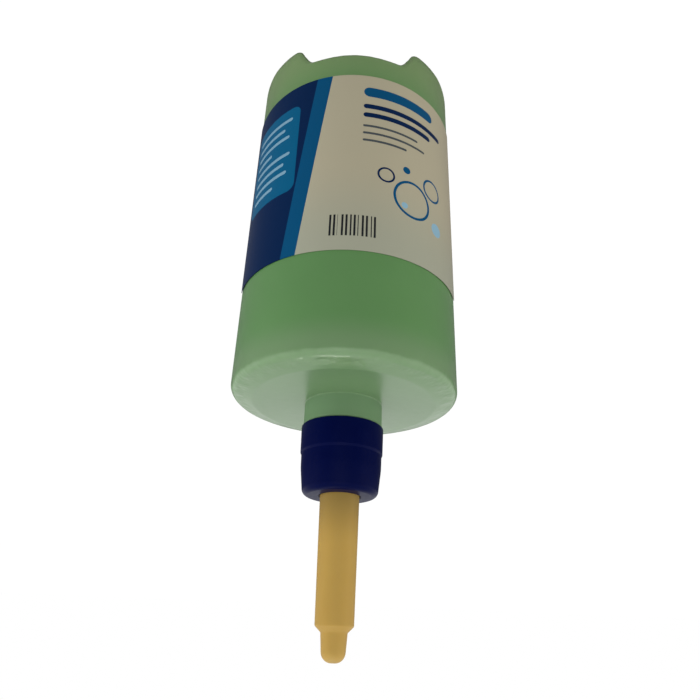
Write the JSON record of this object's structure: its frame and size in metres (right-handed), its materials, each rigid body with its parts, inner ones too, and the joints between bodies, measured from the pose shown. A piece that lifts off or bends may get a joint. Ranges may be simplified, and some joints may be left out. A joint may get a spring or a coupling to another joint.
{
  "type": "hand soap refill pack",
  "caption": "Round soap refill bottle on two moulded feet, with a flat shoulder, a push-on cap, a tapered squeeze tube with a nipple, and a ball inlet valve inside.",
  "frame": {"origin": "on the bottle's axis at the plane of its two feet", "axes": "+Z along the bottle's axis from the feet towards the squeeze tube, -Y towards the front label, X across the two feet"},
  "size_m": [0.094, 0.0945, 0.2671],
  "materials": {
    "bottle_plastic": "satin natural polyethylene, tinted green by the soap behind it",
    "soap": null,
    "label_film": "printed film with a satin varnish, plain colour fields",
    "cap_plastic": "navy polypropylene, satin gloss",
    "tube_rubber": "amber latex rubber, matt, slightly translucent",
    "valve_plastic": "natural polyethylene",
    "ball_steel": "polished stainless steel"
  },
  "bodies": {
    "pack_body": {"bottle": "bottle_plastic", "liquid_soap": "soap", "front_label": "label_film", "cap": "cap_plastic", "squeeze_tube": "tube_rubber", "valve_seat": "valve_plastic"},
    "inlet_ball": {"valve_ball": "ball_steel"}
  },
  "joints": [
    {"name": "inlet_ball_lift", "type": "slide", "parent": "pack_body", "child": "inlet_ball", "axis": [0, 0, 1], "range_m": [0, 0.0016]}
  ]
}
